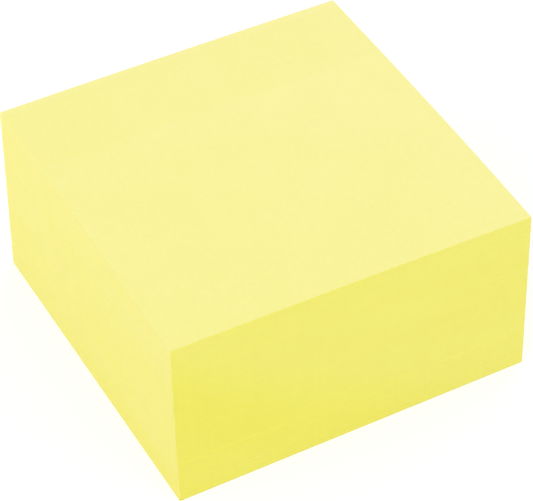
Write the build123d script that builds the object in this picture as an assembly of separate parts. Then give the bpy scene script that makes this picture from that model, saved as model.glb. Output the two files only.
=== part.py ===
from build123d import *

import os

# A cube pad of sticky notes. The notes are square sheets of one paper, all cut together, and each has a band
# of low-tack adhesive across its back, next to the same edge. Those bands alone hold the pad together. Under
# the last note lies a backing sheet, which covers that note's adhesive until the pad is used up.
#
# The origin is at the middle of the underside, where the pad rests. +Z is up, +X runs along the free front
# edge, where a note is lifted, and +Y points to the gummed edge at the back. All lengths are in millimetres.

# The notes
NOTE_WIDTH = 76.0  # along X
NOTE_DEPTH = 76.0  # along Y, from the free edge to the gummed edge
NOTE_COUNT = 400
NOTE_PITCH = 0.098  # one sheet of 75 g/m2 paper, as it lies in the pressed pad

# The band of adhesive on a note's back
STRIP_DEPTH = 18.0  # along Y
STRIP_EDGE_MARGIN = 1.5  # bare paper between the band and the gummed edge
STRIP_END_MARGIN = 0.5  # bare paper at each end of the band
STRIP_THICKNESS = 0.03

# The backing sheet, cut with the notes
BACKING_THICKNESS = 0.12

# Levels, from the underside up
STRIP_LEVEL = BACKING_THICKNESS
STACK_LEVEL = STRIP_LEVEL + STRIP_THICKNESS
STACK_HEIGHT = NOTE_COUNT * NOTE_PITCH


def slab(width, depth, thickness, middle_y, level):
    """A flat rectangular piece with its underside at a level, centred on X."""
    standing = (Align.CENTER, Align.CENTER, Align.MIN)
    return Pos(0, middle_y, level) * Box(width, depth, thickness, align=standing)


def backing_sheet():
    """The sheet that the pad rests on, as wide and as deep as the notes."""
    return slab(NOTE_WIDTH, NOTE_DEPTH, BACKING_THICKNESS, 0, 0)


def adhesive_strip():
    """The lowest note's band of adhesive, held between that note and the backing sheet."""
    width = NOTE_WIDTH - 2 * STRIP_END_MARGIN
    middle_y = NOTE_DEPTH / 2 - STRIP_EDGE_MARGIN - STRIP_DEPTH / 2
    return slab(width, STRIP_DEPTH, STRIP_THICKNESS, middle_y, STRIP_LEVEL)


def note_stack():
    """All the notes, stuck to one another with their edges in line, as one block."""
    return slab(NOTE_WIDTH, NOTE_DEPTH, STACK_HEIGHT, 0, STACK_LEVEL)


os.makedirs("parts", exist_ok=True)
for piece in (backing_sheet, adhesive_strip, note_stack):
    export_step(piece(), f"parts/{piece.__name__}.step")
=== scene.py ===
import math

import bpy
import numpy as np
from mathutils import Matrix, Vector


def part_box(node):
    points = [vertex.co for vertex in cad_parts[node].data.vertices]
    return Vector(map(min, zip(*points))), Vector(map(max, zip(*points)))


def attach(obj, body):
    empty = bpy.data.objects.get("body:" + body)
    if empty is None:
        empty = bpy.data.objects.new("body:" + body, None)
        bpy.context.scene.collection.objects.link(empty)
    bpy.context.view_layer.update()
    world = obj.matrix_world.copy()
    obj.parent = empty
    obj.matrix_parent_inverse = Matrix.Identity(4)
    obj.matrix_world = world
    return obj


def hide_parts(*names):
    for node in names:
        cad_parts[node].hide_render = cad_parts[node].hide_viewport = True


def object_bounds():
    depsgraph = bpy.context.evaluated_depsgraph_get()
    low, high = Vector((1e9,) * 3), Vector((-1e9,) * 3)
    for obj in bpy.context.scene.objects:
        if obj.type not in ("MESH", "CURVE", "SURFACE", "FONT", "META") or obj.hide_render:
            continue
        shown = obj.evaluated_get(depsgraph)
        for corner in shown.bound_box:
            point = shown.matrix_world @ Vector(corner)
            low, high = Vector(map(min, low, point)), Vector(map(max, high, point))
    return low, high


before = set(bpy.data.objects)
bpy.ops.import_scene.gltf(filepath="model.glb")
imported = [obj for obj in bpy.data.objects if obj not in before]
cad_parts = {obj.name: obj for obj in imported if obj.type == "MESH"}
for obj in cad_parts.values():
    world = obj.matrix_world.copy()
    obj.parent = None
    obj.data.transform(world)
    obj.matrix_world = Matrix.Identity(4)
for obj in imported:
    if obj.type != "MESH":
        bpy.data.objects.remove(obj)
cad_low, cad_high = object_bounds()

# A cube pad of plain yellow sticky notes. Every note's cut edge is in the mesh, so the four sides show the
# layers of the pad. +X runs along the free front edge, +Y points to the gummed edge at the back, +Z is up.
MM = 0.001
RANDOM_SEED = 76

# The pad as it is after cutting, gluing and handling
SHEETS = 400
SPANS_PER_SIDE = 16  # straight spans in one side of a note's outline
TWIST = 0.65  # degrees that the top note is turned against the lowest, clockwise seen from above
GUMMED_SIDE_RISE = 0.78 * MM  # the bands of adhesive make the pad this much thicker at the back
KNIFE_DRAW = 0.24 * MM  # each side stands out this much further at the underside than at the top
BACK_CORNER_OVERRUN = 1.04 * MM  # the cut isn't quite square: the back right corner stands out
CORNER_DROOP = 0.15 * MM  # the top notes sink a little towards their corners
FREE_CORNER_DROOP = 0.17 * MM  # and a little more at the front right one
FREE_CORNER_SHARPNESS = 6  # how close to that corner the extra droop stays, as a power
SHEET_JITTER = 0.008 * MM  # how far single notes stand in or out
JITTER_LIMIT = 2.2 * SHEET_JITTER  # and how far the furthest of them may
BATCH_JITTER = 0.018 * MM  # how far whole batches of notes do
BATCH_SIZES = (9, 38)  # notes in a batch: at least the first number, and fewer than the second
EDGE_WAVE = 0.006 * MM  # how far one note's edge wanders along its length
BENDS_PER_NOTE = 8  # places round a note's outline that wander by themselves, two a side
GROOVE_DEPTH = 0.035 * MM  # from a note's edge in to where two notes meet
GUMMED_GROOVE_DEPTH = 0.015 * MM  # the same at the back, where adhesive holds them tight
GROOVE_SHARE = 0.2  # the groove's share of a note's pitch

# The camera aims at a point inside the pad, from in front and to the left. Angles are in degrees.
CAMERA_AZIMUTH = -27.7
CAMERA_ELEVATION = 42.08
CAMERA_ROLL = -0.81
CAMERA_DISTANCE = 0.486
CAMERA_LENS = 165.1
CAMERA_SENSOR = 36.0
CAMERA_CLIP = (0.01, 20.0)
AIM_DEPTH = 22.8 * MM  # from the middle of the pad's top down to the point that the aim starts from
AIM_RIGHT = 1.17 * MM  # and the aim's way from there to the camera's right
AIM_UP = 0.01 * MM

FLOOR_SIZE = 12.0
FLOOR_GAP = 0.02 * MM
FLOOR_ALBEDO = 0.80  # what lamps and the pad see
FLOOR_SEEN_ALBEDO = 0.42  # what the camera sees, over a white glow, so that the pad's shadow stays
FLOOR_SEEN_GLOW = 0.64
FLOOR_FAR_GLOW = 1.0
FLOOR_GLOW_REACH = (0.25, 1.5)  # metres from the pad, between which the glow grows
WORLD_LEVEL = 0.58  # what lights the pad
WORLD_SEEN_LEVEL = 1.0  # what the camera sees
LAMPS = (
    # name, direction from the pad (x, y, z), distance, side of the square lamp, power in watts
    ("left_softbox", (-0.78, -0.18, 0.62), 1.5, 1.3, 11.9),
    ("front_fill", (0.30, -0.85, 0.45), 1.6, 1.2, 7.3),
    ("back_fill", (0.80, 0.62, 0.40), 1.6, 1.2, 8.5),
)


# ---------------------------------------------------------------- node helpers

class Nodes:
    """The node tree of a material or a world, with short calls for the nodes that are needed here. A value
    given to a call is a number, or what another call gave back."""

    def __init__(self, owner):
        self.owner = owner
        owner.use_nodes = True
        self.tree = owner.node_tree
        self.tree.nodes.clear()

    def add(self, kind, **settings):
        node = self.tree.nodes.new(kind)
        for name, value in settings.items():
            setattr(node, name, value)
        return node

    def link(self, source, target):
        self.tree.links.new(source, target)

    def coordinates(self, kind):
        """Object gives the place on the object in metres, and Normal gives the way that the surface faces."""
        return self.add("ShaderNodeTexCoord").outputs[kind]

    def axes(self, vector):
        """The X, Y and Z parts of a vector."""
        parts = self.add("ShaderNodeSeparateXYZ")
        self.link(vector, parts.inputs[0])
        return parts.outputs

    def noise(self, stretch, detail, offset=0.0, roughness=0.5):
        """Noise from 0 to 1 with features of about 1/stretch metres along X, Y and Z. offset picks one of the
        many such patterns."""
        stretched = self.add("ShaderNodeVectorMath", operation="MULTIPLY")
        stretched.inputs[1].default_value = stretch
        self.link(self.coordinates("Object"), stretched.inputs[0])
        texture = self.add("ShaderNodeTexNoise", noise_dimensions="4D")
        texture.inputs["Scale"].default_value = 1.0
        texture.inputs["Detail"].default_value = detail
        texture.inputs["Roughness"].default_value = roughness
        texture.inputs["W"].default_value = offset
        self.link(stretched.outputs[0], texture.inputs["Vector"])
        return texture.outputs["Fac"]

    def remap(self, value, source, target):
        """value, with the two ends of source taken to the two ends of target, and held there beyond them."""
        node = self.add("ShaderNodeMapRange", clamp=True)
        for name, number in zip(("From Min", "From Max", "To Min", "To Max"), (*source, *target)):
            node.inputs[name].default_value = number
        self.link(value, node.inputs["Value"])
        return node.outputs["Result"]

    def math(self, operation, *operands):
        node = self.add("ShaderNodeMath", operation=operation)
        for socket, value in zip(node.inputs, operands):
            if isinstance(value, (int, float)):
                socket.default_value = value
            else:
                self.link(value, socket)
        return node.outputs[0]

    def plus(self, base, value, factor):
        """base + value * factor"""
        return self.math("MULTIPLY_ADD", value, factor, base)

    def blend(self, factor, first, second, mode="MIX"):
        """The colour first where factor is 0. Where it is 1, the colour second, or with the mode MULTIPLY the
        product of both."""
        node = self.add("ShaderNodeMix", data_type="RGBA", blend_type=mode)
        for socket, value in ((node.inputs[0], factor), (node.inputs[6], first), (node.inputs[7], second)):
            if isinstance(value, tuple):
                socket.default_value = (*value, 1.0)
            elif isinstance(value, float):
                socket.default_value = value
            else:
                self.link(value, socket)
        return node.outputs[2]

    def bump(self, height, distance, strength, before=None):
        """A normal tilted by height, on top of the bump before."""
        node = self.add("ShaderNodeBump")
        node.inputs["Distance"].default_value = distance
        node.inputs["Strength"].default_value = strength
        self.link(height, node.inputs["Height"])
        if before is not None:
            self.link(before, node.inputs["Normal"])
        return node.outputs["Normal"]

    def paint(self, colour, roughness, normal, specular, sheen=0.0):
        """Ends a material with its shader, and gives it back."""
        shader = self.add("ShaderNodeBsdfPrincipled")
        shader.inputs["Specular IOR Level"].default_value = specular
        shader.inputs["Sheen Weight"].default_value = sheen
        self.link(colour, shader.inputs["Base Color"])
        self.link(roughness, shader.inputs["Roughness"])
        self.link(normal, shader.inputs["Normal"])
        output = self.add("ShaderNodeOutputMaterial")
        self.link(shader.outputs[0], output.inputs["Surface"])
        return self.owner

    def camera_seen(self):
        """1 where the camera, a glossy ray or a transmission ray looks, and 0 for the light itself."""
        path = self.add("ShaderNodeLightPath")
        seen = self.math("MAXIMUM", path.outputs["Is Camera Ray"], path.outputs["Is Glossy Ray"])
        return self.math("MAXIMUM", seen, path.outputs["Is Transmission Ray"])


def tinted(colour, factors):
    """A colour with its red, green and blue multiplied by factors."""
    return tuple(c * f for c, f in zip(colour, factors))


# ---------------------------------------------------------------- materials
#
# Colours are linear. The names ending in TONES, MOTTLE or ROUGHNESS say what a texture's darkest and lightest
# parts become. Those ending in BUMP say how high a texture stands, and how strongly its bump shows.

# A noise texture hardly ever reaches 0 or 1, so one of these ranges in it counts as its darkest to lightest.
NOISE_CORE = (0.3, 0.7)
NOISE_BULK = (0.25, 0.75)
NOISE_SPAN = (0.2, 0.8)

FACE_COLOUR = (0.896, 0.847, 0.308)
FACE_PALER = (1.014, 1.010, 1.10)
FACE_DEEPER = (0.984, 0.986, 0.90)
FACE_PAINTED_LIGHT_SLOPE = 0.5  # painted light: of the way from deeper to paler, gained over the face's width, and again over its depth
BAND_TINT = (0.996, 0.995, 0.955)  # where the adhesive lies under the note
BAND_BLUR = 0.5 * MM
FACE_CLOUDS = {"stretch": (90, 90, 90), "detail": 4.0, "offset": 6.0}
FACE_FLOCKS = {"stretch": (900, 900, 900), "detail": 3.0, "offset": 4.0}
FACE_FIBRES = {"stretch": (1500, 7000, 3000), "detail": 2.0, "offset": 9.0}
FACE_MOTTLE = (0.3, 0.7)
FLOCK_TONES = (-0.012, 0.012)
FIBRE_TONES = (-0.010, 0.010)
FACE_ROUGHNESS = (0.74, 0.90)
FLOCK_BUMP = (0.012 * MM, 0.4)
FIBRE_BUMP = (0.006 * MM, 0.5)


def face_paper(low, high, band):
    """The flat of an uncoated sheet: cloudy formation, short fibres and a fine tooth. It is painted a little
    paler towards its back right corner, which is painted light, and the band of adhesive under it shows
    through. low and high are the corners of the stack's box, and band is the two values of Y that the
    adhesive lies between."""
    n = Nodes(bpy.data.materials.new("note_face"))
    clouds = n.noise(**FACE_CLOUDS)
    flocks = n.noise(**FACE_FLOCKS)
    fibres = n.noise(**FACE_FIBRES)
    x, y, _ = n.axes(n.coordinates("Object"))
    rightward = n.remap(x, (low.x, high.x), (-0.5, 0.5))
    backward = n.remap(y, (low.y, band[0]), (-0.5, 0.5))
    mottle = n.remap(clouds, NOISE_CORE, FACE_MOTTLE)
    # painted light: the face is painted paler towards its back right corner, on top of its random mottle
    paleness = n.plus(mottle, n.math("ADD", rightward, backward), FACE_PAINTED_LIGHT_SLOPE)
    paper = n.blend(paleness, tinted(FACE_COLOUR, FACE_DEEPER), tinted(FACE_COLOUR, FACE_PALER))
    into_band = n.remap(y, (band[0] - BAND_BLUR, band[0] + BAND_BLUR), (0.0, 1.0))
    out_of_band = n.remap(y, (band[1] - BAND_BLUR, band[1] + BAND_BLUR), (1.0, 0.0))
    gummed = n.blend(n.math("MULTIPLY", into_band, out_of_band), paper, BAND_TINT, "MULTIPLY")
    specks = n.math("ADD", n.remap(flocks, NOISE_BULK, FLOCK_TONES), n.remap(fibres, NOISE_BULK, FIBRE_TONES))
    colour = n.blend(1.0, gummed, n.math("ADD", specks, 1.0), "MULTIPLY")
    roughness = n.remap(flocks, NOISE_SPAN, FACE_ROUGHNESS)
    normal = n.bump(fibres, *FIBRE_BUMP, before=n.bump(flocks, *FLOCK_BUMP))
    return n.paint(colour, roughness, normal, specular=0.28, sheen=0.04)


FRONT_COLOUR = (0.886, 0.840, 0.155)  # and the back's
SIDE_PAINTED_LIGHT_COLOUR = (0.899, 0.833, 0.258)  # the left and the right side's, painted paler than the front's as painted light
SIDE_FACING = (0.6, 0.8)  # the length of a normal along X, from none of the sides' painted light colour to all of it
EDGE_PALER = (1.004, 1.008, 1.15)
EDGE_DEEPER = (0.996, 0.988, 0.74)
EDGE_PATCHES = {"stretch": (26, 26, 60), "detail": 2.0, "offset": 4.0}
EDGE_BATCHES = {"stretch": (34, 34, 330), "detail": 3.0, "roughness": 0.6}
EDGE_LAYERS = {"stretch": (30, 30, 5200), "detail": 2.0, "offset": 7.0}
KNIFE_MARKS = {"stretch": (2600, 2600, 26), "detail": 2.0, "offset": 2.0}
PATCH_SHARE = 0.65  # of the mottle
BATCH_SHARE = 0.35
EDGE_MOTTLE = (0.1, 0.9)
LAYER_TONES = (-0.012, 0.010)
KNIFE_TONES = (-0.006, 0.006)
EDGE_ROUGHNESS = (0.60, 0.72)
KNIFE_BUMP = (0.006 * MM, 0.35)

# How pale the cut edges are, from 0 for EDGE_DEEPER to 1 for EDGE_PALER
SIDE_PALENESS = 0.60  # a side's, at the top of its back end
SIDE_FRONT_PAINTED_LIGHT = 0.12  # painted light: more at its front end
SIDE_MOTTLE_GAIN = 0.5  # more where the mottle is 1
SIDE_PAINTED_SHADE_BELOW = 0.42  # painted shade: less at the underside
SIDE_FRONT_PAINTED_SHADE_BELOW = 0.50  # painted shade: and less by this too at the underside's front end
FRONT_PALENESS = 0.64
FRONT_MOTTLE_GAIN = 0.40

# The front is painted deeper in a slanting streak of painted shade, from about half way up its left edge to
# the middle of its lower edge, and less so in the corner beyond. The way into that corner counts 1 from the
# top to the underside, and CORNER_SLANT from right to left.
CORNER_SLANT = 1.15
CORNER_WANDER = 0.2  # how far the mottle moves a place along that way
SHADE_STREAK_START = (1.26, 1.58)  # along that way, between which the streak sets in
SHADE_STREAK_END = (1.78, 1.94)  # and between which it loses SHADE_STREAK_END_LOSS
SHADE_STREAK_END_LOSS = 0.26
SHADE_STREAK_RUN = (0.6, 1.0)  # from right to left, between which it goes from one SHADE_STREAK_STRENGTH to the other
SHADE_STREAK_STRENGTH = (0.62, 0.98)


def edge_paper(low, high):
    """The cut edges of the notes, one above another, with the marks that the knife left across them. The left
    and right sides are painted paler than the front and the back, which is painted light. They are painted
    deeper towards the underside and most of all at its front, which is painted shade, and the front has a
    slanting streak of painted shade towards its lower left corner. low and high are the corners of the
    stack's box."""
    n = Nodes(bpy.data.materials.new("note_edges"))
    patches = n.noise(**EDGE_PATCHES)
    batches = n.noise(**EDGE_BATCHES)
    layers = n.noise(**EDGE_LAYERS)
    knife = n.noise(**KNIFE_MARKS)
    x, y, z = n.axes(n.coordinates("Object"))
    below = n.remap(z, (low.z, high.z), (1.0, 0.0))
    leftward = n.remap(x, (low.x, high.x), (1.0, 0.0))
    forward = n.remap(y, (low.y, high.y), (1.0, 0.0))
    mixed = n.plus(n.math("MULTIPLY", patches, PATCH_SHARE), batches, BATCH_SHARE)
    mottle = n.remap(mixed, NOISE_CORE, EDGE_MOTTLE)

    # painted light and shade: each side is painted paler towards its front end and deeper towards the
    # underside, most of all at its front, over its random mottle
    side_top = n.plus(n.plus(SIDE_PALENESS, forward, SIDE_FRONT_PAINTED_LIGHT), mottle, SIDE_MOTTLE_GAIN)
    side_painted_shade = n.math("MULTIPLY", below, n.plus(SIDE_PAINTED_SHADE_BELOW, forward, SIDE_FRONT_PAINTED_SHADE_BELOW))
    side_paleness = n.math("SUBTRACT", side_top, side_painted_shade)
    side = n.blend(side_paleness, tinted(SIDE_PAINTED_LIGHT_COLOUR, EDGE_DEEPER), tinted(SIDE_PAINTED_LIGHT_COLOUR, EDGE_PALER))

    # painted shade: a slanting streak, deeper towards the front's lower left corner, kept off the back
    into_corner = n.plus(n.plus(below, leftward, CORNER_SLANT), mottle, CORNER_WANDER)
    strength = n.remap(leftward, SHADE_STREAK_RUN, SHADE_STREAK_STRENGTH)
    streak = n.math("MULTIPLY", n.remap(into_corner, SHADE_STREAK_START, (0.0, 1.0)), strength)
    beyond = n.remap(into_corner, SHADE_STREAK_END, (0.0, SHADE_STREAK_END_LOSS))
    front_painted_shade = n.math("MULTIPLY", n.math("SUBTRACT", streak, beyond), forward)
    front_paleness = n.math("SUBTRACT", n.plus(FRONT_PALENESS, mottle, FRONT_MOTTLE_GAIN), front_painted_shade)
    front = n.blend(front_paleness, tinted(FRONT_COLOUR, EDGE_DEEPER), tinted(FRONT_COLOUR, EDGE_PALER))

    # painted light: faces along X take the sides' paler, lit copy of the edge colour
    facing_x = n.math("ABSOLUTE", n.axes(n.coordinates("Normal"))["X"])
    paper = n.blend(n.remap(facing_x, SIDE_FACING, (0.0, 1.0)), front, side)
    lines = n.math("ADD", n.remap(layers, NOISE_CORE, LAYER_TONES), n.remap(knife, NOISE_CORE, KNIFE_TONES))
    colour = n.blend(1.0, paper, n.math("ADD", lines, 1.0), "MULTIPLY")
    roughness = n.remap(layers, NOISE_SPAN, EDGE_ROUGHNESS)
    return n.paint(colour, roughness, n.bump(knife, *KNIFE_BUMP), specular=0.5, sheen=0.10)


BACKING_COLOUR = (0.92, 0.86, 0.28)
BACKING_DEEPER = (0.99, 0.985, 0.94)
BACKING_CLOUDS = {"stretch": (120, 120, 120), "detail": 3.0, "offset": 1.0}
BACKING_RIPPLE = {"stretch": (700, 700, 700), "detail": 2.0, "offset": 5.0}
BACKING_ROUGHNESS = (0.42, 0.55)
RIPPLE_BUMP = (0.004 * MM, 0.3)


def coated_paper():
    """The backing sheet: a smoother paper with a thin release coat."""
    n = Nodes(bpy.data.materials.new("backing_coated_paper"))
    clouds = n.noise(**BACKING_CLOUDS)
    ripple = n.noise(**BACKING_RIPPLE)
    paleness = n.remap(clouds, NOISE_CORE, (0.0, 1.0))
    colour = n.blend(paleness, tinted(BACKING_COLOUR, BACKING_DEEPER), BACKING_COLOUR)
    roughness = n.remap(ripple, NOISE_SPAN, BACKING_ROUGHNESS)
    return n.paint(colour, roughness, n.bump(ripple, *RIPPLE_BUMP), specular=0.4)


ADHESIVE_COLOUR = (0.86, 0.82, 0.50)
ADHESIVE_DEEPER = (0.95, 0.94, 0.86)
ADHESIVE_BEADS = {"stretch": (5200, 5200, 5200), "detail": 1.0, "offset": 6.0}
ADHESIVE_SMEARS = {"stretch": (160, 900, 160), "detail": 3.0, "offset": 8.0}
ADHESIVE_ROUGHNESS = (0.35, 0.6)
BEAD_BUMP = (0.01 * MM, 0.6)


def tacky_film():
    """The band of adhesive: a rough film of small soft beads."""
    n = Nodes(bpy.data.materials.new("adhesive_film"))
    beads = n.noise(**ADHESIVE_BEADS)
    smears = n.noise(**ADHESIVE_SMEARS)
    paleness = n.remap(smears, NOISE_CORE, (0.0, 1.0))
    colour = n.blend(paleness, tinted(ADHESIVE_COLOUR, ADHESIVE_DEEPER), ADHESIVE_COLOUR)
    roughness = n.remap(beads, NOISE_SPAN, ADHESIVE_ROUGHNESS)
    return n.paint(colour, roughness, n.bump(beads, *BEAD_BUMP), specular=0.5)


# ---------------------------------------------------------------- the pad's shape

def outline(spans):
    """The outline of a square from -1 to 1, anticlockwise from its front left corner, and each point's
    direction out of the square."""
    steps = np.arange(spans) / spans * 2 - 1
    ones = np.ones(spans)
    x = np.concatenate([steps, ones, -steps, -ones])
    y = np.concatenate([-ones, steps, ones, -steps])
    outward_x = np.where(np.abs(x) == 1, x, 0.0)
    outward_y = np.where(np.abs(y) == 1, y, 0.0)
    return np.stack([x, y], 1), np.stack([outward_x, outward_y], 1)


def inner_grid(spans):
    """The points of the square's grid that aren't on its border."""
    steps = np.arange(1, spans) / spans * 2 - 1
    y, x = np.meshgrid(steps, steps, indexing="ij")
    return np.stack([x.ravel(), y.ravel()], 1)


def cap_faces(first, spans, up):
    """Faces over the square's grid, which look up or down. The outline's points start at index first, and
    the inner points come right after them."""
    ring = 4 * spans
    inner = first + ring

    def index(i, j):
        if j == 0:
            return first + i
        if i == spans:
            return first + spans + j
        if j == spans:
            return first + 3 * spans - i
        if i == 0:
            return first + ring - j
        return inner + (j - 1) * (spans - 1) + (i - 1)

    faces = []
    for j in range(spans):
        for i in range(spans):
            quad = (index(i, j), index(i + 1, j), index(i + 1, j + 1), index(i, j + 1))
            faces.append(quad if up else quad[::-1])
    return faces


def half_sides(low, high):
    return (high.x - low.x) / 2, (high.y - low.y) / 2


def settle(square, share, level, half, inset=0.0):
    """Points of the square from -1 to 1, as they lie in the pad. share is their place in it, from 0 at the
    underside to 1 at the top, and level is their height. half is the pad's half sides, and inset is how far
    the points lie in from the cut."""
    x, y = square[:, 0], square[:, 1]
    reach = KNIFE_DRAW * (0.5 - share) - inset
    cut_x = x * (half[0] + reach)
    cut_y = y * (half[1] + reach) + BACK_CORNER_OVERRUN * (1 + x) * (1 + y) / 4
    angle = math.radians(TWIST) * (0.5 - share)
    turned_x = cut_x * math.cos(angle) - cut_y * math.sin(angle)
    turned_y = cut_x * math.sin(angle) + cut_y * math.cos(angle)
    band_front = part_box("adhesive_strip")[0].y / half[1]
    to_band = np.clip((y + 1) / (band_front + 1), 0, 1)
    rise = GUMMED_SIDE_RISE * (to_band * (2 - to_band) - 0.5)
    corner = x ** 2 * y ** 2
    free_corner = ((1 + x) * (1 - y) / 4) ** FREE_CORNER_SHARPNESS
    rise -= CORNER_DROOP * corner * share + FREE_CORNER_DROOP * free_corner * share ** 2
    return np.stack([turned_x, turned_y, level + rise * share], 1)


def note_offsets(rng):
    """How far each note stands out along X and Y: single notes at random, and batches of them together."""
    single = rng.normal(0.0, SHEET_JITTER, (SHEETS, 2))
    batch = np.zeros((SHEETS, 2))
    start = 0
    while start < SHEETS:
        count = int(rng.integers(*BATCH_SIZES))
        batch[start:start + count] = rng.normal(0.0, BATCH_JITTER, 2)
        start += count
    return np.clip(single, -JITTER_LIMIT, JITTER_LIMIT) + batch


def stack_rings(low, high, offsets, rng):
    """Rings of points round the stack, from the underside up: each note's two edges, and between every two
    notes the bottom of their groove."""
    square, outward = outline(SPANS_PER_SIDE)
    ring = len(square)
    half = half_sides(low, high)
    height = high.z - low.z
    pitch = height / len(offsets)
    groove = np.interp(square[:, 1], (-1, 1), (GROOVE_DEPTH, GUMMED_GROOVE_DEPTH))
    bend_places = np.linspace(0, ring, BENDS_PER_NOTE + 1)
    rings = []
    for k, offset in enumerate(offsets):
        lowest = k == 0
        topmost = k == len(offsets) - 1
        bottom = low.z + k * pitch
        bends = rng.normal(0.0, EDGE_WAVE, BENDS_PER_NOTE)
        wave = np.interp(np.arange(ring), bend_places, np.append(bends, bends[0]))
        shift = np.concatenate([offset[None] + outward * wave[:, None], np.zeros((ring, 1))], 1)
        lower_edge = bottom if lowest else bottom + GROOVE_SHARE / 2 * pitch
        upper_edge = bottom + pitch if topmost else bottom + (1 - GROOVE_SHARE / 2) * pitch
        for level in (lower_edge, upper_edge):
            rings.append(settle(square, (level - low.z) / height, level, half) + shift)
        if not topmost:
            level = bottom + pitch
            rings.append(settle(square, (level - low.z) / height, level, half, groove) + shift)
    return rings


def closed_mesh(name, rings, floor_points, top_points):
    """A mesh with walls from ring to ring and a cap at each end, whose inner points are floor_points and
    top_points. The caps' faces come last."""
    spans = SPANS_PER_SIDE
    ring = 4 * spans
    # Each cap's inner points come right after its own ring, as cap_faces needs them.
    points = np.concatenate([rings[0], floor_points, *rings[1:], top_points])
    starts = [0] + [ring + len(floor_points) + k * ring for k in range(len(rings) - 1)]
    faces = []
    for lower, upper in zip(starts, starts[1:]):
        for i in range(ring):
            j = (i + 1) % ring
            faces.append((lower + i, lower + j, upper + j, upper + i))
    faces += cap_faces(0, spans, up=False) + cap_faces(starts[-1], spans, up=True)
    mesh = bpy.data.meshes.new(name)
    mesh.from_pydata(points.tolist(), [], faces)
    mesh.update()
    return mesh


def add_piece(name, mesh, materials, node):
    """Makes a mesh a finished piece that stands for a CAD node."""
    piece = bpy.data.objects.new(name, mesh)
    bpy.context.scene.collection.objects.link(piece)
    for material in materials:
        mesh.materials.append(material)
    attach(piece, "root")
    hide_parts(node)


def build_notes():
    """The notes, with the cut edges' material on their four sides and the face's on the two flat ends."""
    low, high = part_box("note_stack")
    band = [corner.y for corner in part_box("adhesive_strip")]
    rng = np.random.default_rng(RANDOM_SEED)
    offsets = note_offsets(rng)
    rings = stack_rings(low, high, offsets, rng)
    inside = inner_grid(SPANS_PER_SIDE)
    half = half_sides(low, high)
    floor_points = settle(inside, 0.0, low.z, half)
    top_points = settle(inside, 1.0, high.z, half)
    mesh = closed_mesh("note_sheets", rings, floor_points, top_points)
    material_of_face = np.zeros(len(mesh.polygons), np.int32)
    material_of_face[-2 * SPANS_PER_SIDE ** 2:] = 1
    mesh.polygons.foreach_set("material_index", material_of_face)
    materials = (edge_paper(low, high), face_paper(low, high, band))
    add_piece("note_sheets", mesh, materials, "note_stack")


def build_backing():
    """The sheet under the notes, cut with them, so that it has their turn and their outline."""
    low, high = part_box("backing_sheet")
    rng = np.random.default_rng(RANDOM_SEED + 1)
    shift = np.append(rng.normal(0.0, SHEET_JITTER, 2), 0.0)
    square, _ = outline(SPANS_PER_SIDE)
    inside = inner_grid(SPANS_PER_SIDE)
    half = half_sides(low, high)
    rings = [settle(square, 0.0, level, half) + shift for level in (low.z, high.z)]
    floor_points, top_points = (settle(inside, 0.0, level, half) + shift for level in (low.z, high.z))
    mesh = closed_mesh("backing_paper_sheet", rings, floor_points, top_points)
    add_piece("backing_paper_sheet", mesh, (coated_paper(),), "backing_sheet")


def finish_adhesive():
    """The CAD band of adhesive has its real shape, so it only gets its material."""
    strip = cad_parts["adhesive_strip"]
    strip.data.materials.clear()
    strip.data.materials.append(tacky_film())


# ---------------------------------------------------------------- studio

def build_floor():
    """A pale floor that the camera sees as white, with the pad's soft shadow on it."""
    side = FLOOR_SIZE / 2
    level = cad_low.z - FLOOR_GAP
    mesh = bpy.data.meshes.new("floor")
    corners = [(-side, -side, level), (side, -side, level), (side, side, level), (-side, side, level)]
    mesh.from_pydata(corners, [], [(0, 1, 2, 3)])
    floor = bpy.data.objects.new("floor", mesh)
    bpy.context.scene.collection.objects.link(floor)
    n = Nodes(bpy.data.materials.new("floor_white"))
    seen = n.camera_seen()
    grey = n.remap(seen, (0.0, 1.0), (FLOOR_ALBEDO, FLOOR_SEEN_ALBEDO))
    shader = n.add("ShaderNodeBsdfDiffuse")
    n.link(grey, shader.inputs["Color"])
    away = n.add("ShaderNodeVectorMath", operation="LENGTH")
    n.link(n.coordinates("Object"), away.inputs[0])
    white = n.remap(away.outputs["Value"], FLOOR_GLOW_REACH, (FLOOR_SEEN_GLOW, FLOOR_FAR_GLOW))
    glow = n.add("ShaderNodeEmission")
    n.link(n.math("MULTIPLY", seen, white), glow.inputs["Strength"])
    both = n.add("ShaderNodeAddShader")
    n.link(shader.outputs[0], both.inputs[0])
    n.link(glow.outputs[0], both.inputs[1])
    output = n.add("ShaderNodeOutputMaterial")
    n.link(both.outputs[0], output.inputs["Surface"])
    mesh.materials.append(n.owner)


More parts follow.
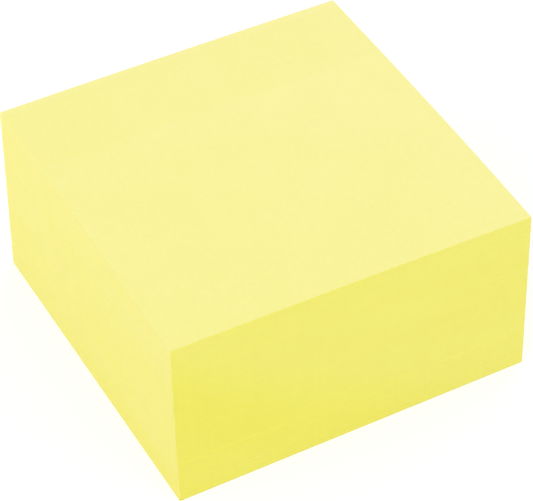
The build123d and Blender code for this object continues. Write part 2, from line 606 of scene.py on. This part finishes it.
def build_world():
    """An even white room, less bright as light on the pad than the camera sees it."""
    n = Nodes(bpy.data.worlds.new("studio"))
    background = n.add("ShaderNodeBackground")
    background.inputs["Color"].default_value = (1.0, 1.0, 1.0, 1.0)
    level = n.remap(n.camera_seen(), (0.0, 1.0), (WORLD_LEVEL, WORLD_SEEN_LEVEL))
    n.link(level, background.inputs["Strength"])
    output = n.add("ShaderNodeOutputWorld")
    n.link(background.outputs[0], output.inputs["Surface"])
    bpy.context.scene.world = n.owner


def build_lamps(target):
    for name, direction, distance, side, power in LAMPS:
        data = bpy.data.lights.new(name, "AREA")
        data.shape = "SQUARE"
        data.size = side
        data.energy = power
        lamp = bpy.data.objects.new(name, data)
        bpy.context.scene.collection.objects.link(lamp)
        away = Vector(direction).normalized()
        lamp.location = target + away * distance
        lamp.rotation_mode = "QUATERNION"
        lamp.rotation_quaternion = away.to_track_quat("Z", "Y")


def build_camera(target):
    azimuth, elevation, roll = (math.radians(a) for a in (CAMERA_AZIMUTH, CAMERA_ELEVATION, CAMERA_ROLL))
    back = Vector((math.sin(azimuth) * math.cos(elevation),
                   -math.cos(azimuth) * math.cos(elevation),
                   math.sin(elevation)))
    level_right = Vector((0, 0, 1)).cross(back).normalized()
    level_up = back.cross(level_right)
    right = level_right * math.cos(roll) + level_up * math.sin(roll)
    up = level_up * math.cos(roll) - level_right * math.sin(roll)
    place = target + back * CAMERA_DISTANCE + right * AIM_RIGHT + up * AIM_UP
    data = bpy.data.cameras.new("camera")
    data.lens = CAMERA_LENS
    data.sensor_width = CAMERA_SENSOR
    data.clip_start, data.clip_end = CAMERA_CLIP
    camera = bpy.data.objects.new("camera", data)
    bpy.context.scene.collection.objects.link(camera)
    axes = Matrix((right, up, back)).transposed()
    camera.matrix_world = Matrix.Translation(place) @ axes.to_4x4()
    bpy.context.scene.camera = camera


build_notes()
build_backing()
finish_adhesive()
build_floor()
build_world()
middle = Vector(((cad_low.x + cad_high.x) / 2, (cad_low.y + cad_high.y) / 2, cad_high.z - AIM_DEPTH))
build_lamps(middle)
build_camera(middle)
bpy.context.scene.view_settings.view_transform = "Standard"
